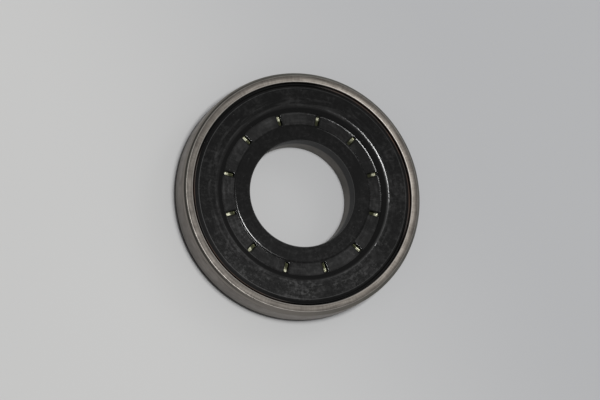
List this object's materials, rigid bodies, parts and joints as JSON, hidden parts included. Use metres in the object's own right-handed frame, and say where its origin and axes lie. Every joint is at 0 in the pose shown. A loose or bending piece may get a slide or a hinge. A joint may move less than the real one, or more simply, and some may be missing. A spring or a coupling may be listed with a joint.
{
  "type": "radial shaft seal",
  "caption": "Cassette radial shaft seal: pressed steel case with curled rim, spring-loaded rubber lip, and a running sleeve with a slotted rubber-faced flange around a straight shaft bore.",
  "frame": {"origin": "on the shaft axis, in the plane of the case's oil-side edge, on which the seal rests", "axes": "+Z along the shaft axis, towards the air side; +X through the middle of one of the twelve slots"},
  "size_m": [0.08, 0.08, 0.0125],
  "materials": {
    "case_steel": "pressed sheet steel, dull grey-brown protective finish",
    "insert_steel": "pressed sheet steel, plain",
    "lip_rubber": "moulded black nitrile, smooth",
    "spring_steel": "bright drawn spring wire",
    "sleeve_steel": "smooth turned running surface, pale plated flange",
    "facing_rubber": "moulded black nitrile, slightly greasy, mottled"
  },
  "bodies": {
    "case": {"outer_case": "case_steel", "inner_case": "insert_steel", "seal_lip": "lip_rubber", "garter_spring": "spring_steel"},
    "sleeve": {"running_sleeve": "sleeve_steel", "sleeve_facing": "facing_rubber"}
  },
  "joints": [
    {"name": "sleeve_spin", "type": "hinge", "parent": "case", "child": "sleeve", "pos_m": [0, 0, 0.006], "axis": [0, 0, 1], "continuous": true}
  ]
}
